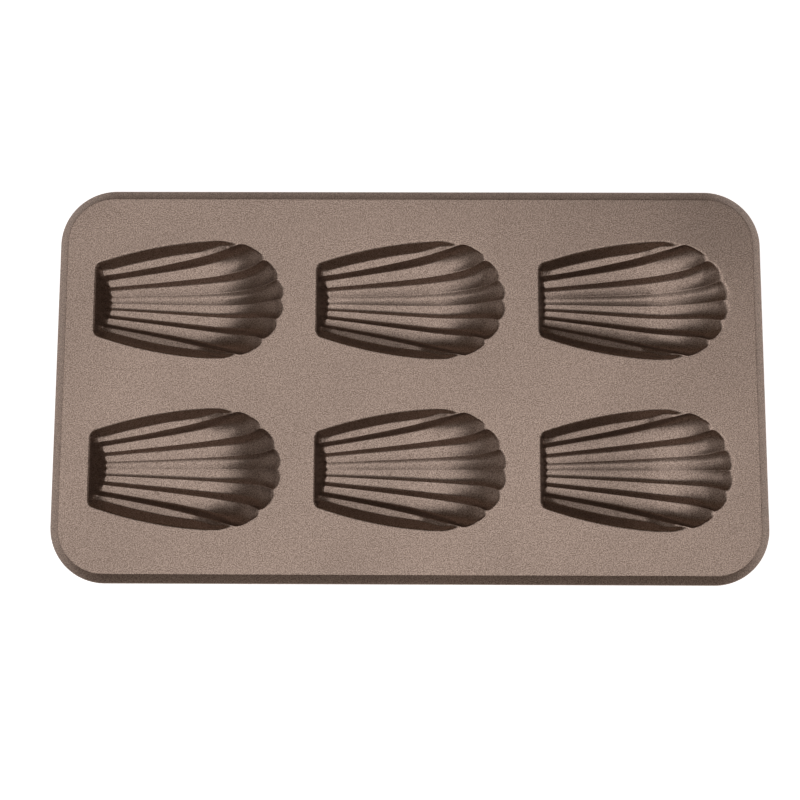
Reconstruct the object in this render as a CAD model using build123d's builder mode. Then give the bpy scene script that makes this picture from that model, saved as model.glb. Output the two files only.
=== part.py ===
from build123d import *
from math import cos, hypot, pi, radians, sin, sqrt, tan
import os

# Pressed steel madeleine pan: one sheet drawn into six fluted shell cups.
# Millimetres, +Z up. The origin is under the middle of the pan, at the level
# of the lowest point of the cups, on which the pan stands. The narrow hinge
# end of every shell points to -X and its scalloped lip to +X.

# Sheet
sheet = 0.8

# Mouth of a cup: x runs from the hinge edge at 0 to the tips of the lip
mouth_length = 75.0
hinge_half_width = 14.0
widest_half_width = 23.4
widest_at = 46.0
flank_swell = 1.7
shoulder_at = 50.0
shoulder_length = 6.0
shoulder_tuck = 1.3

# Deck: the flat part between the cups and around them, up to the bend of the rim
column_names = ("left", "middle", "right")
row_names = ("front", "back")
column_gap = 13.0
row_gap = 20.2
end_margin = 10.5
side_margin = 17.1
deck_corner_radius = 18.0

# Rim: flared down from the deck, then a short upright edge
flare_reach = 4.0
flare_drop = 2.8
rim_edge_height = 1.8

# Bowl: the surface on which the crests between the flutes lie
bowl_depth = 14.0
hinge_depth = 10.3
fullness_at_hinge = 1.12
fullness_at_lip = 1.0
fullness_from = 30.0
hinge_wall_angle = 20.0
flank_wall_angle = 34.0

# Foot of the flank wall in plan: start, slope and bend
foot_start = 11.0
foot_slope = 0.187
foot_bend = 0.00085
foot_round = 1.0

# Crests, from the flank inwards: start and slope of the fan at the hinge edge,
# then how far the notch in which the crest ends lies behind the tips of the lip
crest_fans = ((9.4, 0.190, 19.1), (5.5, 0.128, 8.1), (2.1, 0.057, 2.8))
middle_notch = 1.0
crest_flick = 1.6
flick_length = 7.5

# Flutes between the crests: rise of their arcs over the chord, which grows
# from a low value along the cup to a full scallop at the lip
flute_rises = (0.13, 0.115, 0.07)
lip_rise = 0.21
scallop_length = 20.0
crest_wall_share = 1.1

# Sections along a cup run on past its mouth, before they are cut off
overrun_hinge = 4.0
overrun_lip = 1.0
overrun_top = 10.0
section_count = 17

# Sizes that follow
column_pitch = mouth_length + column_gap
row_pitch = 2 * widest_half_width + row_gap
deck_length = (len(column_names) - 1) * column_pitch + mouth_length + 2 * end_margin
deck_width = (len(row_names) - 1) * row_pitch + 2 * (widest_half_width + side_margin)
lip_reach = mouth_length - middle_notch - widest_at
section_top = bowl_depth + overrun_top


def half_width(x):
    """Half the width of the mouth: a swelling taper, tucked in at the shoulder."""
    share = min(max(x / widest_at, 0.0), 1.0)
    taper = hinge_half_width + (widest_half_width - hinge_half_width) * share
    tuck = min(max((x - shoulder_at) / shoulder_length, 0.0), 1.0) ** 2
    return taper + 4 * flank_swell * share * (1 - share) - shoulder_tuck * tuck


def middle_depth(x):
    """Depth along the middle: a cosine from the hinge, then a parabola to the lip."""
    if x < widest_at:
        share = (1 - cos(pi * max(x, 0.0) / widest_at)) / 2
        return hinge_depth + (bowl_depth - hinge_depth) * share
    return bowl_depth * (1 - ((x - widest_at) / lip_reach) ** 2)


def bowl_curve(x):
    """How fast the bowl rises from its middle: depth lost per square of y."""
    share = min(max((x - fullness_from) / (widest_at - fullness_from), 0.0), 1.0)
    fullness = fullness_at_hinge + (fullness_at_lip - fullness_at_hinge) * share
    if x < widest_at:
        return middle_depth(x) * fullness / half_width(x) ** 2
    return bowl_depth * fullness / widest_half_width ** 2


def crest_points(x):
    """Crests from the flank to the middle, as vectors (y, z) below the deck."""
    points = []
    for start, slope, behind_lip in crest_fans:
        notch = mouth_length - behind_lip
        flick = min(max((x - notch) / flick_length + 1, 0.0), 1.0) ** 2
        y = start + slope * x + crest_flick * flick
        points.append(Vector(y, bowl_curve(x) * y ** 2 - middle_depth(x)))
    return points + [Vector(0, -middle_depth(x))]


def flute_rise(x, flute):
    """Rise of a flute's arc over its chord, by the flute's number from the flank."""
    behind_lip = crest_fans[flute][2]
    share = min(max((x - mouth_length + behind_lip) / scallop_length + 1, 0.0), 1.0)
    return flute_rises[flute] + (lip_rise - flute_rises[flute]) * share ** 2


def flute_bottom(outer, inner, rise, wall):
    """Middle of the arc between two crests, moved outwards by the wall."""
    chord = outer - inner
    outward = Vector(chord.Y, -chord.X).normalized()
    return (outer + inner) / 2 + outward * (rise * chord.length + wall)


def cup_section(x, wall):
    """Closed outline of a cup across X, grown outwards by the wall."""
    slope = (middle_depth(x + 0.01) - middle_depth(x - 0.01)) / 0.02
    grow = wall * sqrt(1 + slope ** 2)
    crests = crest_points(x)
    moved = []
    for crest in crests:
        outward = Vector(2 * bowl_curve(x) * crest.X, -1).normalized()
        moved.append(crest + outward * (crest_wall_share * grow))
    lean = tan(radians(flank_wall_angle))
    outside = grow / cos(radians(flank_wall_angle))
    foot_y = foot_start + foot_slope * x + foot_bend * x ** 2
    foot_z = (foot_y - half_width(x)) / lean
    wall_top = Vector(foot_y + (section_top - foot_z) * lean + outside, section_top)
    wall_low = Vector(foot_y + foot_round * lean + outside, foot_z + foot_round)
    foot = Vector(foot_y + grow / 2, foot_z + (1 - grow) / 4)
    origin = (x - mouth_length / 2, 0, 0)
    with BuildSketch(Plane(origin=origin, x_dir=(0, 1, 0), z_dir=(1, 0, 0))) as section:
        with BuildLine():
            Line((0, section_top), wall_top)
            Line(wall_top, wall_low)
            Spline(wall_low, foot, moved[0], tangents=[wall_low - wall_top, moved[0] - foot])
            for flute in range(len(crest_fans)):
                rise = flute_rise(x, flute)
                bottom = flute_bottom(crests[flute], crests[flute + 1], rise, grow)
                ThreePointArc(moved[flute], bottom, moved[flute + 1])
            mirror(about=Plane.YZ)
        make_face()
    return section.sketch


def hinge_plane(wall):
    """Plane of the end wall at the hinge, moved outwards by the wall."""
    angle = radians(hinge_wall_angle)
    outward = Vector(-cos(angle), 0, -sin(angle))
    return Plane(origin=Vector(-mouth_length / 2, 0, 0) + outward * wall, z_dir=outward)


def pan_outline(grow, depth):
    """Rounded outline of the deck, grown sideways, at a depth below its top."""
    with BuildSketch(Plane.XY.offset(deck_top - depth)) as outline:
        RectangleRounded(
            deck_length + 2 * grow, deck_width + 2 * grow, deck_corner_radius + grow
        )
    return outline.sketch


# Space inside a cup, centred on its mouth, with the top of the deck at height 0
section_step = (overrun_hinge + mouth_length + overrun_lip) / (section_count - 1)
section_places = [section_step * index - overrun_hinge for index in range(section_count)]
with BuildPart() as cavity:
    loft(sections=[cup_section(x, 0.0) for x in section_places])
    split(bisect_by=hinge_plane(0.0), keep=Keep.BOTTOM)

# The same space with the sheet around it, up to the underside of the deck
with BuildPart() as cup_body:
    loft(sections=[cup_section(x, sheet) for x in section_places])
    split(bisect_by=hinge_plane(sheet), keep=Keep.BOTTOM)
    split(bisect_by=Plane.XY.offset(-sheet), keep=Keep.BOTTOM)

# One cup, hanging from the underside of the deck
with BuildPart() as cup:
    add(cup_body.part)
    add(cavity.part, mode=Mode.SUBTRACT)

# The pan stands on its cups, so they set the height of the deck
deck_top = -cup_body.part.bounding_box().min.Z

# Deck plate: flat sheet with an opening over every cup
flare_top = flare_reach * sheet / flare_drop
with BuildPart() as deck_plate:
    loft(sections=[pan_outline(0.0, 0.0), pan_outline(flare_top, sheet)])
    with Locations((0, 0, deck_top)):
        with GridLocations(column_pitch, row_pitch, len(column_names), len(row_names)):
            add(cavity.part, mode=Mode.SUBTRACT)
deck_plate.part.label = "deck_plate"

# Rim: the flare and its upright edge, one ring under the edge of the deck
flare_length = hypot(flare_reach, flare_drop)
inside_top = flare_top - sheet * flare_length / flare_drop
inside_bend = flare_drop + sheet * (flare_length - flare_reach) / flare_drop
rim_bottom = flare_drop + rim_edge_height
with BuildPart() as rim_flange:
    loft(sections=[pan_outline(flare_top, sheet), pan_outline(flare_reach, flare_drop)])
    extrude(pan_outline(flare_reach, flare_drop), amount=-rim_edge_height)
    inside = pan_outline(flare_reach - sheet, inside_bend)
    loft(sections=[pan_outline(inside_top, sheet), inside], mode=Mode.SUBTRACT)
    extrude(inside, amount=inside_bend - rim_bottom, mode=Mode.SUBTRACT)
rim_flange.part.label = "rim_flange"

os.makedirs("parts", exist_ok=True)
export_step(deck_plate.part, "parts/deck_plate.step")
export_step(rim_flange.part, "parts/rim_flange.step")
for column, column_name in enumerate(column_names):
    for row, row_name in enumerate(row_names):
        x = (column - (len(column_names) - 1) / 2) * column_pitch
        y = (row - (len(row_names) - 1) / 2) * row_pitch
        with BuildPart() as placed_cup:
            with Locations((x, y, deck_top)):
                add(cup.part)
        placed_cup.part.label = f"shell_cup_{column_name}_{row_name}"
        export_step(placed_cup.part, f"parts/{placed_cup.part.label}.step")
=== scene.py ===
import math

import bmesh
import bpy
import numpy as np
from mathutils import Matrix, Vector


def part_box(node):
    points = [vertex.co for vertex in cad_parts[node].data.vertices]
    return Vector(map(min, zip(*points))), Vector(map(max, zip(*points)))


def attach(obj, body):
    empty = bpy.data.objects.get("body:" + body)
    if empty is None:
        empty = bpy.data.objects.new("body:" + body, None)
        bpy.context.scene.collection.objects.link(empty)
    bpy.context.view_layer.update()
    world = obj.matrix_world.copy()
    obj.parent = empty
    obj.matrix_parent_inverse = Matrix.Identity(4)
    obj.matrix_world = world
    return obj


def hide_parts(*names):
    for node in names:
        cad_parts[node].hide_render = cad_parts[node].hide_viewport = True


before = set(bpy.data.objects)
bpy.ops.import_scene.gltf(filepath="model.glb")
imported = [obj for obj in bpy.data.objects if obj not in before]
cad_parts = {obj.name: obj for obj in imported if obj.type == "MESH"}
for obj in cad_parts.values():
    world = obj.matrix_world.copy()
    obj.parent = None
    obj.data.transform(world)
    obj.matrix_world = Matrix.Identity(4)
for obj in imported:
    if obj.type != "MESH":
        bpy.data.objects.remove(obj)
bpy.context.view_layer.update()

# Madeleine pan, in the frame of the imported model. The sizes of its pieces are in millimetres,
# and mm turns them into Blender's metres.
mm = 0.001
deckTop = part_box("deck_plate")[1][2]

pan = {
    "sheet": 0.8,                 # thickness of the pressed sheet
    "deckLength": 272.0,          # flat deck, up to the bend of the rim
    "deckWidth": 148.0,
    "cornerRadius": 18.0,
    "columnPitch": 88.0,
    "rowPitch": 67.0,
    "columns": ("left", "middle", "right"),
    "rows": ("front", "back"),
    "mergeWithin": 0.001,         # points closer than this become one
    "sharpFrom": 60.0,            # an edge is sharp where its faces bend by more degrees
}


def smoothStep(t):
    # 0 below 0, 1 above 1, and the cubic 3t^2 - 2t^3 between
    t = np.clip(t, 0.0, 1.0)
    return t * t * (3.0 - 2.0 * t)


def roundedMin(a, b, size):
    # the smaller of a and b, with a parabola where they differ by less than size
    h = np.clip(1.0 - np.abs(a - b) / size, 0.0, None)
    return np.minimum(a, b) - h * h * size / 4.0


def roundedMax(a, b, size):
    # the larger of a and b, rounded in the same way
    return -roundedMin(-a, -b, size)


def addMesh(name, points, quads):
    # a smooth-shaded object from rows of coordinates and rows of four point numbers
    mesh = bpy.data.meshes.new(name)
    mesh.vertices.add(len(points))
    mesh.vertices.foreach_set("co", points.astype(np.float32).ravel())
    mesh.loops.add(quads.size)
    mesh.loops.foreach_set("vertex_index", quads.astype(np.int32).ravel())
    mesh.polygons.add(len(quads))
    mesh.polygons.foreach_set("loop_start", np.arange(0, quads.size, 4, dtype=np.int32))
    mesh.polygons.foreach_set("loop_total", np.full(len(quads), 4, dtype=np.int32))
    mesh.polygons.foreach_set("use_smooth", np.full(len(quads), True))
    mesh.update(calc_edges=True)
    mesh.validate()
    piece = bpy.data.objects.new(name, mesh)
    bpy.context.collection.objects.link(piece)
    return piece


def finishShell(piece):
    # merge the doubled points of neighbouring bands, turn every face outwards, mark as sharp the
    # edges that bend by more than the sharp angle, and count the edges without two faces
    mesh = piece.data
    shell = bmesh.new()
    shell.from_mesh(mesh)
    bmesh.ops.remove_doubles(shell, verts=shell.verts, dist=pan["mergeWithin"] * mm)
    bmesh.ops.recalc_face_normals(shell, faces=shell.faces)
    shell.to_mesh(mesh)
    shell.free()
    mesh.set_sharp_from_angle(angle=math.radians(pan["sharpFrom"]))
    used = np.empty(len(mesh.loops), dtype=np.int32)
    mesh.loops.foreach_get("edge_index", used)
    faces = np.bincount(used, minlength=len(mesh.edges))
    print(piece.name, "open edges:", np.count_nonzero(faces != 2))


def gridQuads(rows, columns, start=0, closed=False):
    # quads of a grid whose points lie row by row; closed joins the last column to the first
    across = columns if closed else columns - 1
    r, c = np.meshgrid(np.arange(rows - 1), np.arange(across), indexing="ij")
    n = (c + 1) % columns
    corners = [
        r * columns + c,
        (r + 1) * columns + c,
        (r + 1) * columns + n,
        r * columns + n,
    ]
    return np.stack(corners, -1).reshape(-1, 4) + start


def borderLoop(rows, columns):
    # indices of a grid's border, once round: row 0, last column, last row back, column 0 back
    grid = np.arange(rows * columns).reshape(rows, columns)
    return np.concatenate([grid[0, :-1], grid[:-1, -1], grid[-1, :0:-1], grid[:0:-1, 0]])


# Shell cup: x runs from the hinge edge to the tips of the lip, y across it.
cup = {
    "length": 75.0,
    "hingeHalf": 14.0,            # half the width of the mouth at the hinge edge
    "widestHalf": 23.4,
    "widestAt": 46.0,
    "swell": 1.7,                 # how far the sides swell beyond a straight taper
    "shoulderAt": 50.0,           # from here the mouth is tucked in, up to the lip's first notch
    "shoulderLength": 6.0,
    "shoulderTuck": 1.3,
    "bowlDepth": 13.65,
    "hingeDepth": 10.3,
    "fullHinge": 1.12,            # rise of the bowl's parabola at the mouth, over its depth
    "fullLip": 1.0,
    "fullFrom": 30.0,
    "lipReach": 28.0,             # from the widest place to where the middle meets the deck
    "hingeEdge": 0.6,             # where the end wall meets the deck, after its rounding
    "hingeAngle": 15.5,           # of the end wall, off upright
    "flankAngle": 34.0,           # of the flank walls, off upright
    "foot": (12.2, 0.13, 0.0015),  # of the flank wall in plan: start, slope, bend
    "wallLeast": 1.1,             # least width of the flank wall in plan
    "bandLeast": 0.4,             # least width of the flute beside it, which comes first
    "inwardLeast": 0.05,          # least width of that wall when its slope is worked out
    "steepMost": 9.0,             # greatest slope of that wall
    # crests in plan, from the flank inwards: start, slope, bend, notch at the end, last flick
    "fans": (
        (9.9, 0.160, 0.0009, 55.9, 0.0),
        (6.0, 0.105, 0.0003, 66.9, 1.3),
        (2.6, 0.042, 0.0002, 72.2, 1.15),
    ),
    "flickLength": 8.0,
    "bandTilts": (0.25, 0.5),     # least and most slope outwards of the flute beside the wall
    # along the cup a flute is a steep riser inside its outer crest, then a gentle tread
    "riserSlopes": (2.2, 1.25, 0.65),
    "treadShare": 0.4,            # tread slope, as a share of the slope from crest to crest
    "treadFall": 0.12,            # taken off that slope, so that the middle flutes are hollow
    "treadSag": 0.05,             # sag of the tread, as a share of the flute's width
    "riserRound": 0.55,           # rounding between riser and tread, as a height
    "roundGrowth": 8.0,           # how fast that rounding grows away from the outer crest
    "roundLeast": 0.01,           # its size on the crest itself
    # at the lip every flute is an arc instead, a full scallop
    "arcRises": (0.13, 0.115, 0.09),
    "lipRise": 0.21,              # rise of the arcs over their chords
    "scallopLength": 21.0,        # over which the arcs take the place of riser and tread
    "sagFade": (0.5, 2.0),        # height where the arcs' sideways swing fades, and over how much
    "drawRound": 1.0,             # rounding of the mouth, as a height
    "footRound": 3.2,             # rounding between the end wall and the floor
    "cornerRound": 6.0,           # rounding between the end wall and the flank walls
    "cornerSpan": (1.05, 0.25),   # shares of the flank's steps: end of the corner, and over how much
    "cornerPower": 8,             # how late the end wall moves in at the foot of the flank
    "noseShift": 0.6,             # how far the crests stop short of the flutes' round ends
    "noseSpan": (0.4, 0.5),       # share of the end wall's depth where that starts, and over how much
    "bandRound": 0.5,             # rounding between the flank wall and its flute
    "border": 2.4,                # flat strip around the mouth that belongs to the cup
    "borderSpread": 0.12,         # how fast that strip widens from the widest place to the lip
    "borderLeast": 0.2,           # least width of flank and border together
    "rows": 220,
    "wallSteps": 24,
    "bandSteps": 8,
    "fluteSteps": 22,
    "crestBunch": 0.3,            # how much closer the steps lie beside a crest
    "normalReach": 9,             # steps on each side over which the bowl's normals are averaged
}


def swellingTaper(x):
    # straight from the half width at the hinge to the widest one, plus a parabola on the way
    share = np.clip(x / cup["widestAt"], 0.0, 1.0)
    taper = cup["hingeHalf"] + (cup["widestHalf"] - cup["hingeHalf"]) * share
    return taper + 4.0 * cup["swell"] * share * (1.0 - share)


def mouthHalf(x):
    # half the width of the mouth: the swelling taper less a parabola that starts at the shoulder
    tuck = np.clip((x - cup["shoulderAt"]) / cup["shoulderLength"], 0.0, 1.0) ** 2
    return swellingTaper(x) - cup["shoulderTuck"] * tuck


def middleDepth(x):
    # depth along the middle: half a cosine from the hinge, then a parabola to the lip
    share = (1.0 - np.cos(np.pi * np.clip(x, 0.0, None) / cup["widestAt"])) / 2.0
    near = cup["hingeDepth"] + (cup["bowlDepth"] - cup["hingeDepth"]) * share
    far = cup["bowlDepth"] * (1.0 - ((x - cup["widestAt"]) / cup["lipReach"]) ** 2)
    return np.where(x < cup["widestAt"], near, far)


def bowlCurve(x):
    # depth lost per square of y: the depth in the middle over the square of the mouth's half
    # width, times a fullness that falls along the cup
    share = np.clip((x - cup["fullFrom"]) / (cup["widestAt"] - cup["fullFrom"]), 0.0, 1.0)
    fullness = cup["fullHinge"] + (cup["fullLip"] - cup["fullHinge"]) * share
    near = middleDepth(x) * fullness / mouthHalf(x) ** 2
    far = cup["bowlDepth"] * fullness / cup["widestHalf"] ** 2
    return np.where(x < cup["widestAt"], near, far)


def crestLine(x, start, slope, bend, notch, flick):
    # a crest: in plan a parabola that flicks outwards by a square just before its notch, and in
    # height the bowl's own parabola across the cup
    share = np.clip((x - notch) / cup["flickLength"] + 1.0, 0.0, 1.0) ** 2
    y = start + slope * x + bend * x ** 2 + flick * share
    return y, bowlCurve(x) * y ** 2 - middleDepth(x)


def lipShare(x, flute):
    # 0 along the cup, then growing as a square to 1 at the notch of the flute's outer crest
    notch = cup["fans"][flute][3]
    return np.clip((x - notch) / cup["scallopLength"] + 1.0, 0.0, 1.0) ** 2


def outerEdge(x):
    # where the cup's own flat border ends: the swelling taper plus the border, and past the
    # widest place a straight line outwards
    past = cup["borderSpread"] * np.clip(x - cup["widestAt"], 0.0, None)
    return swellingTaper(x) + cup["border"] + past


def betweenRows(start, end, steps):
    # rows of values from start up to just before end, in even steps
    t = np.linspace(0.0, 1.0, steps, endpoint=False)[:, None]
    return start + (end - start) * t


def flankRows(x, bandY, bandZ):
    # the flank wall and the flute at its foot, as rows of y and z from the border to the first
    # crest: a straight line from the mouth to the foot and one from the foot to the crest, and z
    # is the rounded larger of the two
    footY = cup["foot"][0] + cup["foot"][1] * x + cup["foot"][2] * x ** 2
    footY = np.minimum(footY, mouthHalf(x) - cup["wallLeast"])
    footY = np.maximum(footY, bandY + cup["bandLeast"])
    inward = np.maximum(mouthHalf(x) - footY, cup["inwardLeast"])
    # the foot lies as deep as the wall's lean takes it, within what the flute's tilts allow
    lean = np.tan(np.radians(cup["flankAngle"]))
    lowest, highest = [bandZ + tilt * (footY - bandY) for tilt in cup["bandTilts"]]
    footZ = np.clip(-inward / lean, lowest, highest)
    steep = np.clip(-footZ / inward, 1.0 / lean, cup["steepMost"])
    outside = np.maximum(outerEdge(x), footY + cup["borderLeast"])
    flank = betweenRows(outside, footY, cup["wallSteps"])
    band = betweenRows(footY, bandY, cup["bandSteps"])
    y = np.concatenate([flank, band])
    onWall = (y - mouthHalf(x)) * steep
    onBand = bandZ + (footZ - bandZ) * (y - bandY) / (footY - bandY)
    return y, roundedMax(onWall, onBand, cup["bandRound"])


def fluteRows(x, flute, outer, inner, turn):
    # one flute, as rows of y and z from its outer to its inner crest. along the cup z is the
    # rounded larger of a straight riser and a tread that sags as a parabola. towards the lip an
    # arc on the chord between the crests takes their place
    chordY, chordZ = outer[0] - inner[0], outer[1] - inner[1]
    lip = lipShare(x, flute)
    rise = cup["arcRises"][flute] + (cup["lipRise"] - cup["arcRises"][flute]) * lip
    half = 2.0 * np.arctan(2.0 * rise)    # half the angle of the arc
    angle = half * (1.0 - 2.0 * turn)
    off = (np.cos(angle) - np.cos(half)) / (2.0 * np.sin(half))
    way = 0.5 + 0.5 * np.sin(angle) / np.sin(half)
    onArc = inner[1] + chordZ * way - chordY * off
    riser = outer[1] - (1.0 - way) * chordY * cup["riserSlopes"][flute]
    slope = cup["treadShare"] * chordZ / chordY - cup["treadFall"]
    tread = inner[1] + chordY * (way * slope - 4.0 * cup["treadSag"] * way * (1.0 - way))
    rounding = cup["riserRound"] * smoothStep(cup["roundGrowth"] * (1.0 - way))
    onStep = roundedMax(riser, tread, rounding + cup["roundLeast"])
    fadeFrom, fadeOver = cup["sagFade"]
    low = 1.0 - smoothStep((inner[1] + chordZ * way - fadeFrom) / fadeOver)
    y = inner[0] + chordY * way + chordZ * off * lip * low
    return y, onStep + (onArc - onStep) * lip


def halfSection(x):
    # one half of all sections, as rows of y and z from the border to the middle: the flank, then
    # each flute from crest to crest, then the crest in the middle
    crests = [crestLine(x, *fan) for fan in cup["fans"]]
    crests.append((np.zeros_like(x), -middleDepth(x)))
    # even steps less a sine wave, which bunches them beside the crests
    turn = np.linspace(0.0, 1.0, cup["fluteSteps"], endpoint=False)
    turn = (turn - cup["crestBunch"] * np.sin(2.0 * np.pi * turn) / (2.0 * np.pi))[:, None]
    rows = [flankRows(x, *crests[0])]
    for flute, (outer, inner) in enumerate(zip(crests, crests[1:])):
        rows.append(fluteRows(x, flute, outer, inner, turn))
    rows.append((crests[-1][0][None], crests[-1][1][None]))
    return np.concatenate([y for y, _ in rows]), np.concatenate([z for _, z in rows])


def acrossFlute(steps):
    # 1 at the crests on both sides of a flute and 0 in its middle, as a parabola
    return (2.0 * np.linspace(0.0, 1.0, steps, endpoint=False) - 1.0) ** 2


def endShape():
    # along one half of a section: how far the end wall moves in, which is 1 on the crests and 0
    # in the flutes, and the size of its rounding, a smooth step from the corner's to the foot's
    flank = np.linspace(0.0, 1.0, cup["wallSteps"], endpoint=False) ** cup["cornerPower"]
    flutes = np.tile(acrossFlute(cup["fluteSteps"]), len(cup["fans"]))
    crests = np.concatenate([flank, acrossFlute(cup["bandSteps"]), flutes, [1.0]])
    cornerEnd, cornerOver = cup["cornerSpan"]
    share = smoothStep((cornerEnd - np.arange(len(crests)) / cup["wallSteps"]) / cornerOver)
    size = cup["footRound"] + (cup["cornerRound"] - cup["footRound"]) * share
    return crests, size


def cupSurface():
    # the upper face of a cup: z is the rounded larger of the sections and the end wall, and then
    # the rounded smaller of that and the deck. the end wall is a leaning plane that moves in by
    # the nose shift on the crests, so that every flute ends in a round nose
    x = np.linspace(-cup["border"], cup["length"] + cup["border"], cup["rows"])
    y, z = halfSection(x)
    crests, size = endShape()
    lean = math.tan(math.radians(cup["hingeAngle"]))
    inside = x - cup["hingeEdge"]
    noseFrom, noseOver = cup["noseSpan"]
    deep = smoothStep((inside / (lean * cup["hingeDepth"]) - noseFrom) / noseOver)
    wall = (cup["noseShift"] * crests[:, None] * deep - inside) / lean
    z = roundedMax(z, wall, size[:, None])
    z = roundedMin(z, 0.0, cup["drawRound"])
    y = np.concatenate([y, -y[-2::-1]]).T
    z = np.concatenate([z, z[-2::-1]]).T
    along = np.broadcast_to(x[:, None] - cup["length"] / 2.0, y.shape)
    return np.stack([along, y, z], -1)


def surfaceNormals(points):
    # unit normals of a grid of points, from central differences
    du = np.gradient(points, axis=0)
    dv = np.gradient(points, axis=1)
    n = np.cross(du, dv)
    n /= np.linalg.norm(n, axis=-1, keepdims=True)
    return np.where(n[..., 2:] < 0.0, -n, n)


def bowlNormals(points):
    # normals of the bowl without its flutes: the mean of the normals over a square window, from
    # the differences of running sums
    reach = cup["normalReach"]
    n = surfaceNormals(points)
    for axis in (0, 1):
        pad = [(reach, reach) if a == axis else (0, 0) for a in range(3)]
        total = np.cumsum(np.pad(n, pad, mode="edge"), axis=axis)
        first = np.take(total, range(2 * reach, total.shape[axis]), axis=axis)
        last = np.take(total, range(0, total.shape[axis] - 2 * reach), axis=axis)
        n = first - last
    return n / np.linalg.norm(n, axis=-1, keepdims=True)


def makeCup(name, node, centre, upper):
    # the upper face, the same face moved by the sheet against the bowl's normals, and a wall
    # round the border, where the lower face lies straight below the upper one
    rows, columns = upper.shape[:2]
    lower = upper - bowlNormals(upper) * pan["sheet"]
    border = borderLoop(rows, columns)
    flatUpper = upper.reshape(-1, 3)
    flatLower = lower.reshape(-1, 3).copy()
    flatLower[border] = flatUpper[border] - [0.0, 0.0, pan["sheet"]]
    points = np.concatenate([flatUpper, flatLower]) * mm
    points += [centre[0], centre[1], deckTop]
    count = rows * columns
    top = gridQuads(rows, columns)
    bottom = gridQuads(rows, columns, count)[:, ::-1]
    around = np.roll(border, -1)
    side = np.stack([border, around, around + count, border + count], -1)
    piece = addMesh(name, points, np.concatenate([top, bottom, side]))
    finishShell(piece)
    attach(piece, "root")
    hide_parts(node)
    return piece


upperCup = cupSurface()
cupBorder = borderLoop(*upperCup.shape[:2])
borderPoints = upperCup.reshape(-1, 3)[cupBorder][:, :2] * mm
cupCentres = {}
for column, columnName in enumerate(pan["columns"]):
    x = (column - (len(pan["columns"]) - 1) / 2.0) * pan["columnPitch"] * mm
    for row, rowName in enumerate(pan["rows"]):
        y = (row - (len(pan["rows"]) - 1) / 2.0) * pan["rowPitch"] * mm
        cupCentres[f"{columnName}_{rowName}"] = (x, y)
pieces = [
    makeCup(f"fluted_cup_{place}", f"shell_cup_{place}", centre, upperCup)
    for place, centre in cupCentres.items()
]
print("cups made:", len(pieces), "points each", upperCup.shape[0] * upperCup.shape[1] * 2)

# Deck: flat sheet. Every cup sits in a cell; the loop around a cup is joined to its cell's edge.
deck = {
    "bendStart": 0.35,            # the rim takes over this far inside the bend
}


def cellLoop(halfX, halfY):
    # the cell's edge, point for point with the border of a cup: as many even steps along each
    # side of a rectangle
    rows, columns = upperCup.shape[:2]
    xs = np.linspace(-halfX, halfX, rows)
    ys = np.linspace(halfY, -halfY, columns)
    return np.concatenate([
        np.stack([np.full(columns - 1, -halfX), ys[:-1]], 1),
        np.stack([xs[:-1], np.full(rows - 1, -halfY)], 1),
        np.stack([np.full(columns - 1, halfX), ys[:0:-1]], 1),
        np.stack([xs[:0:-1], np.full(rows - 1, halfY)], 1),
    ])


def blockLoop(halfX, halfY):
    # the outside of the block of cells, in the same steps as the cells' own edges
    rows, columns = upperCup.shape[:2]
    across, along = len(pan["columns"]), len(pan["rows"])
    xs = np.concatenate([np.linspace(0.0, 1.0, rows)[:-1] + i for i in range(across)])
    ys = np.concatenate([np.linspace(0.0, 1.0, columns)[:-1] + i for i in range(along)])
    xs = (xs / across * 2.0 - 1.0) * halfX
    ys = (ys / along * 2.0 - 1.0) * halfY
    return np.concatenate([
        np.stack([np.full_like(ys, -halfX), -ys], 1),
        np.stack([xs, np.full_like(xs, -halfY)], 1),
        np.stack([np.full_like(ys, halfX), ys], 1),
        np.stack([-xs, np.full_like(xs, halfY)], 1),
    ])


def deckOutline(points):
    # for each point, the nearest point of the rectangle of corner centres, and the unit vector
    # from there to the point
    reach = np.array([pan["deckLength"], pan["deckWidth"]]) * mm / 2.0 - pan["cornerRadius"] * mm
    inner = np.clip(points, -reach, reach)
    way = points - inner
    return inner, way / np.linalg.norm(way, axis=1, keepdims=True)


halfCell = np.array([pan["columnPitch"], pan["rowPitch"]]) * mm / 2.0
cellPoints = cellLoop(*halfCell)
blockPoints = blockLoop(*(halfCell * [len(pan["columns"]), len(pan["rows"])]))
innerPoints, outward = deckOutline(blockPoints)
deckEdge = innerPoints + outward * (pan["cornerRadius"] - deck["bendStart"]) * mm


def sheetBand(nearLoop, farLoop, facing):
    # a flat band between two loops: its upper face, the same face a sheet lower, and a wall
    # straight down from the loop that faces out
    count = len(nearLoop)
    flat = np.concatenate([nearLoop, farLoop])
    high = np.column_stack([flat, np.full(2 * count, deckTop)])
    low = high - [0.0, 0.0, pan["sheet"] * mm]
    strip = gridQuads(2, count, closed=True)
    ring = np.arange(count) + (0 if facing == "near" else count)
    after = np.roll(ring, -1)
    wall = np.stack([ring, after, after + 2 * count, ring + 2 * count], -1)
    if facing == "far":
        wall = wall[:, ::-1]
    faces = [strip, strip[:, ::-1] + 2 * count, wall]
    return np.concatenate([high, low]), np.concatenate(faces)


def makeDeck():
    # a band from each cup's border to the edge of its cell, and one from the block of cells to
    # the edge of the deck, put together into one mesh
    bands = [sheetBand(borderPoints + c, cellPoints + c, "near") for c in cupCentres.values()]
    bands.append(sheetBand(blockPoints, deckEdge, "far"))
    starts = np.cumsum([0] + [len(points) for points, _ in bands])
    points = np.concatenate([points for points, _ in bands])
    quads = np.concatenate([quads + start for (_, quads), start in zip(bands, starts)])
    return addMesh("flat_deck", points, quads)


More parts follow.
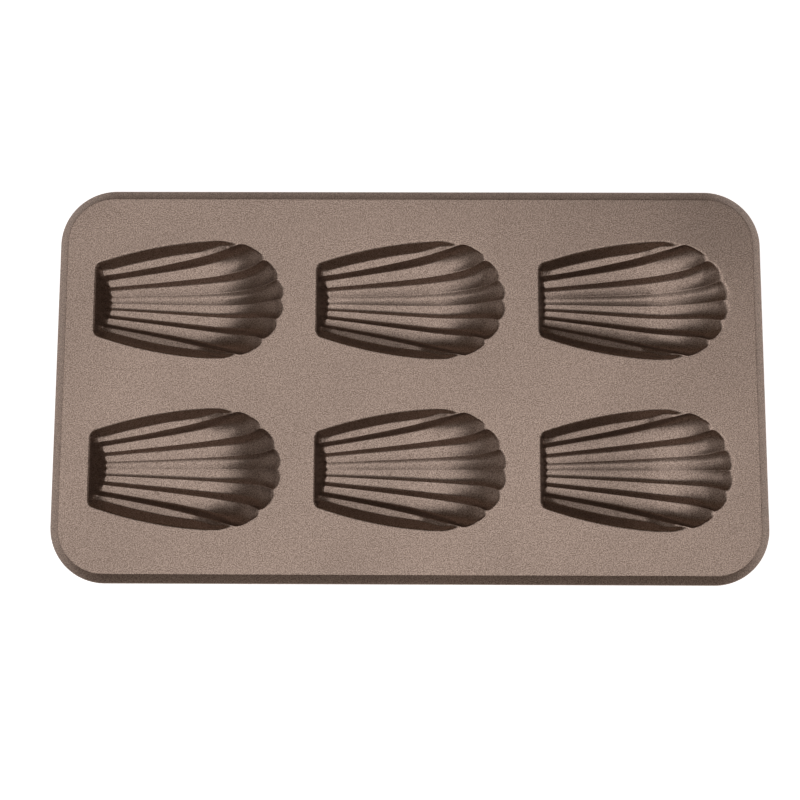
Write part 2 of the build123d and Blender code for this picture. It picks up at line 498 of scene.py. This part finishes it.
deckPiece = makeDeck()
finishShell(deckPiece)
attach(deckPiece, "root")
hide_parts("deck_plate")
print("deck made:", len(deckPiece.data.polygons), "faces")

# Rim: a profile carried round the edge of the deck, closed into a shell.
rim = {
    "reach": 4.0,                 # of the flare, outwards from the edge of the deck
    "drop": 2.8,
    "edge": 1.8,                  # height of the upright edge below the flare
    "bendRadius": 0.4,            # on the upper face, between deck and flare
    "innerBend": 0.04,            # on the lower face, between deck and flare
    "turnRadius": 0.9,            # between flare and upright edge
    "arcSteps": 7,
}


def arcPoints(centre, radius, start, end, steps):
    # points of an arc, by its angles in degrees, 90 being up and 0 outwards
    angle = np.radians(np.linspace(start, end, steps))
    return np.stack([centre[0] + radius * np.cos(angle), centre[1] + radius * np.sin(angle)], 1)


def rimProfile():
    # outwards and down: bend, flare, turn, upright edge, round cut edge, then back up inside. an
    # arc that joins two straight lines has its centre off their corner by its radius times the
    # tangent of half the bend
    lean = math.degrees(math.atan2(rim["drop"], rim["reach"]))
    bendSpread = math.tan(math.radians(lean / 2.0))
    turnSpread = math.tan(math.radians((90.0 - lean) / 2.0))
    bend, turn, sheet, steps = rim["bendRadius"], rim["turnRadius"], pan["sheet"], rim["arcSteps"]
    inner = rim["innerBend"] + sheet
    bendCentre = (-bend * bendSpread, -bend)
    innerCentre = (-inner * bendSpread, -inner)
    turnCentre = (rim["reach"] - turn, -rim["drop"] - turn * turnSpread)
    edgeCentre = (rim["reach"] - sheet / 2.0, -rim["drop"] - rim["edge"] + sheet / 2.0)
    profile = [
        [[-deck["bendStart"], 0.0]],
        arcPoints(bendCentre, bend, 90.0, 90.0 - lean, steps),
        arcPoints(turnCentre, turn, 90.0 - lean, 0.0, steps),
        arcPoints(edgeCentre, sheet / 2.0, 0.0, -180.0, 2 * steps),
        arcPoints(turnCentre, turn - sheet, 0.0, 90.0 - lean, steps),
        arcPoints(innerCentre, inner - sheet, 90.0 - lean, 90.0, steps),
        [[-deck["bendStart"], -sheet]],
    ]
    return np.concatenate(profile) * mm


def makeRim():
    # a loop for each point of the profile: it stands off the rectangle of corner centres by the
    # corner's radius and the point's reach, at the point's height
    profile = rimProfile()
    reach = pan["cornerRadius"] * mm + profile[:, :1, None]
    flat = innerPoints[None] + outward[None] * reach
    z = np.broadcast_to(deckTop + profile[:, 1:, None], flat.shape[:2] + (1,))
    points = np.concatenate([flat, z], -1)
    points = np.concatenate([points, points[:1]])
    quads = gridQuads(len(points), points.shape[1], closed=True)
    return addMesh("flared_rim", points.reshape(-1, 3), quads)


rimPiece = makeRim()
finishShell(rimPiece)
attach(rimPiece, "root")
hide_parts("rim_flange")
print("rim made:", len(rimPiece.data.polygons), "faces")

# Coating: satin metallic champagne brown with a fine sandy grain. Scales are per metre.
coating = {
    "light": (0.385, 0.297, 0.251, 1.0),
    "dark": (0.14, 0.1, 0.079, 1.0),
    "metallic": 1.0,
    "roughness": 0.38,
    "grainScale": 2400.0,         # grains about half a millimetre apart
    "grainDetail": 2.0,
    "grainSpan": (0.33, 0.67),    # noise values of the dark and the light tone
    "grainHeight": 0.00005,       # in metres
    "grainBump": 0.4,
    "cloudScale": 24.0,           # slow changes of tone, about four centimetres apart
    "cloudDetail": 1.0,
    "cloudSpan": (0.3, 0.7),      # noise values between which the tone changes
    "cloudTones": (0.95, 1.05),
}
# sockets of a Mix node that mixes colours
mixSockets = {"factor": 0, "first": 6, "second": 7, "result": 2}


def noiseNode(nodes, links, place, scale, detail):
    # smooth noise from 0 to 1 at a place
    noise = nodes.new("ShaderNodeTexNoise")
    noise.inputs["Scale"].default_value = scale
    noise.inputs["Detail"].default_value = detail
    links.new(place, noise.inputs["Vector"])
    return noise.outputs["Fac"]


def carryOver(nodes, links, value, source, target):
    # a value carried from one span to another along a straight line, and held at both ends
    span = nodes.new("ShaderNodeMapRange")
    span.inputs["From Min"].default_value, span.inputs["From Max"].default_value = source
    span.inputs["To Min"].default_value, span.inputs["To Max"].default_value = target
    links.new(value, span.inputs["Value"])
    return span.outputs["Result"]


def mathNode(nodes, links, operation, *values):
    # one step of arithmetic on the outputs of other nodes
    step = nodes.new("ShaderNodeMath")
    step.operation = operation
    for slot, value in enumerate(values):
        links.new(value, step.inputs[slot])
    return step.outputs[0]


def makeCoating():
    # the colour runs straight from dark to light with the grain's noise, and its brightness a
    # little up and down with the clouds' noise. the grain also lifts the surface
    material = bpy.data.materials.new("champagne_coating")
    material.use_nodes = True
    nodes, links = material.node_tree.nodes, material.node_tree.links
    shader = nodes["Principled BSDF"]
    shader.inputs["Metallic"].default_value = coating["metallic"]
    shader.inputs["Roughness"].default_value = coating["roughness"]
    place = nodes.new("ShaderNodeTexCoord").outputs["Object"]
    grain = noiseNode(nodes, links, place, coating["grainScale"], coating["grainDetail"])
    light = carryOver(nodes, links, grain, coating["grainSpan"], (0.0, 1.0))
    tone = nodes.new("ShaderNodeMix")
    tone.data_type = "RGBA"
    tone.inputs[mixSockets["first"]].default_value = coating["dark"]
    tone.inputs[mixSockets["second"]].default_value = coating["light"]
    links.new(light, tone.inputs[mixSockets["factor"]])
    cloud = noiseNode(nodes, links, place, coating["cloudScale"], coating["cloudDetail"])
    level = carryOver(nodes, links, cloud, coating["cloudSpan"], coating["cloudTones"])
    clouded = nodes.new("ShaderNodeHueSaturation")
    links.new(level, clouded.inputs["Value"])
    links.new(tone.outputs[mixSockets["result"]], clouded.inputs["Color"])
    links.new(clouded.outputs["Color"], shader.inputs["Base Color"])
    bump = nodes.new("ShaderNodeBump")
    bump.inputs["Strength"].default_value = coating["grainBump"]
    bump.inputs["Distance"].default_value = coating["grainHeight"]
    links.new(grain, bump.inputs["Height"])
    links.new(bump.outputs["Normal"], shader.inputs["Normal"])
    return material


coatingMaterial = makeCoating()
for piece in pieces + [deckPiece, rimPiece]:
    piece.data.materials.clear()
    piece.data.materials.append(coatingMaterial)

# Studio: a pale floor, a white surround for the camera, a wide lamp overhead. Sizes are in metres.
studio = {
    "white": (1.0, 1.0, 1.0, 1.0),
    "floorHalf": 12.0,
    "floorTone": (0.85, 0.85, 0.85, 1.0),
    "floorRoughness": 0.9,
    # the floor glows where it is seen or mirrored, and so looks white: less near the pan, where
    # the lamp lights it and the pan shades it, and more far out
    "glow": (0.66, 1.0),
    "glowSpan": (0.35, 1.5),      # distances between which the glow grows
    "surround": (1.0, 0.62, 0.34, 1.0),
    "roomLight": (0.15, 0.05),    # of the room around the pan, and of that around the lamp
    "roomSpan": (0.0, 0.45),      # sines of the elevations between which it changes
    "sideLight": (0.0, 1.2),      # of pale screens low down at both ends of the pan
    "sideFrom": (0.75, 0.95),     # how far towards X a direction points where they fade in
    "sideHeight": (0.1, 0.28),    # sines of the elevations where they fade out
    "lamps": (
        {"name": "overhead", "place": (-0.13, -0.18, 1.2), "size": 2.0, "power": 17.4},
    ),
}


def seenShare(nodes, links, kinds):
    # 1 on rays of the given kinds, 0 on the others: the largest of their shares
    path = nodes.new("ShaderNodeLightPath")
    share = path.outputs[kinds[0]]
    for kind in kinds[1:]:
        share = mathNode(nodes, links, "MAXIMUM", share, path.outputs[kind])
    return share


def makeFloor():
    # a plane whose glow grows in a straight line with the distance from the pan, on the rays
    # that see it or mirror it, and is 0 on the others
    bpy.ops.mesh.primitive_plane_add(size=2.0 * studio["floorHalf"])
    floor = bpy.context.object
    floor.name = "floor"
    paint = bpy.data.materials.new("floor_paint")
    paint.use_nodes = True
    nodes, links = paint.node_tree.nodes, paint.node_tree.links
    shader = nodes["Principled BSDF"]
    shader.inputs["Base Color"].default_value = studio["floorTone"]
    shader.inputs["Roughness"].default_value = studio["floorRoughness"]
    shader.inputs["Emission Color"].default_value = studio["white"]
    away = nodes.new("ShaderNodeVectorMath")
    away.operation = "LENGTH"
    links.new(nodes.new("ShaderNodeTexCoord").outputs["Object"], away.inputs[0])
    growth = carryOver(nodes, links, away.outputs["Value"], studio["glowSpan"], studio["glow"])
    seen = seenShare(nodes, links, ("Is Camera Ray", "Is Glossy Ray", "Is Transmission Ray"))
    glow = mathNode(nodes, links, "MULTIPLY", seen, growth)
    links.new(glow, shader.inputs["Emission Strength"])
    floor.data.materials.append(paint)


def makeWorld():
    # the sum of a warm room, whose light falls with the sine of the elevation, and two screens,
    # whose light is the product of a share of X and a share of the height. the camera and what
    # is seen through glass meet white instead
    world = bpy.data.worlds.new("studio")
    bpy.context.scene.world = world
    world.use_nodes = True
    nodes, links = world.node_tree.nodes, world.node_tree.links
    way = nodes.new("ShaderNodeSeparateXYZ")
    links.new(nodes.new("ShaderNodeTexCoord").outputs["Generated"], way.inputs[0])
    roomLevel = carryOver(nodes, links, way.outputs["Z"], studio["roomSpan"], studio["roomLight"])
    room = nodes["Background"]
    room.inputs["Color"].default_value = studio["surround"]
    links.new(roomLevel, room.inputs["Strength"])
    toEnds = mathNode(nodes, links, "ABSOLUTE", way.outputs["X"])
    screen = carryOver(nodes, links, toEnds, studio["sideFrom"], studio["sideLight"])
    low = carryOver(nodes, links, way.outputs["Z"], studio["sideHeight"], (1.0, 0.0))
    sides = nodes.new("ShaderNodeBackground")
    links.new(mathNode(nodes, links, "MULTIPLY", screen, low), sides.inputs["Strength"])
    both = nodes.new("ShaderNodeAddShader")
    links.new(room.outputs[0], both.inputs[0])
    links.new(sides.outputs[0], both.inputs[1])
    white = nodes.new("ShaderNodeBackground")
    white.inputs["Color"].default_value = studio["white"]
    seen = seenShare(nodes, links, ("Is Camera Ray", "Is Transmission Ray"))
    choice = nodes.new("ShaderNodeMixShader")
    for slot, output in enumerate((seen, both.outputs[0], white.outputs[0])):
        links.new(output, choice.inputs[slot])
    links.new(choice.outputs[0], nodes["World Output"].inputs["Surface"])


def makeLamps():
    # square area lamps, each turned so that it looks at the middle of the deck
    for lamp in studio["lamps"]:
        data = bpy.data.lights.new(lamp["name"], "AREA")
        data.size = lamp["size"]
        data.energy = lamp["power"]
        light = bpy.data.objects.new(lamp["name"], data)
        bpy.context.collection.objects.link(light)
        light.location = lamp["place"]
        aim = Vector((0.0, 0.0, deckTop)) - light.location
        light.rotation_euler = aim.to_track_quat("-Z", "Y").to_euler()


makeFloor()
makeWorld()
makeLamps()

# Camera: almost straight above, a little to the front, as in the photograph.
view = {
    "place": (-1.9, -41.2, 362.9),     # millimetres from the middle of the deck's upper face
    "forward": (-0.005, 0.0953, -0.9954),
    "right": (1.0, 0.0033, -0.0047),
    "focalPixels": 932.0,
    "framePixels": 800.0,
    "sensor": 36.0,                    # width in millimetres
    "nearest": 0.01,                   # in metres
}


def makeCamera():
    # the lens is the focal length as a share of the picture's width, times the sensor's width.
    # the turn has the directions right, up and backwards as its columns
    data = bpy.data.cameras.new("camera")
    data.sensor_width = view["sensor"]
    data.lens = view["focalPixels"] / view["framePixels"] * view["sensor"]
    data.clip_start = view["nearest"]
    camera = bpy.data.objects.new("camera", data)
    bpy.context.collection.objects.link(camera)
    forward = Vector(view["forward"]).normalized()
    right = Vector(view["right"])
    right = (right - forward * right.dot(forward)).normalized()
    up = right.cross(forward)
    turn = Matrix((right, up, -forward)).transposed()
    camera.rotation_euler = turn.to_euler()
    camera.location = Vector(view["place"]) * mm + Vector((0.0, 0.0, deckTop))
    bpy.context.scene.camera = camera


makeCamera()
bpy.context.scene.view_settings.view_transform = "Standard"
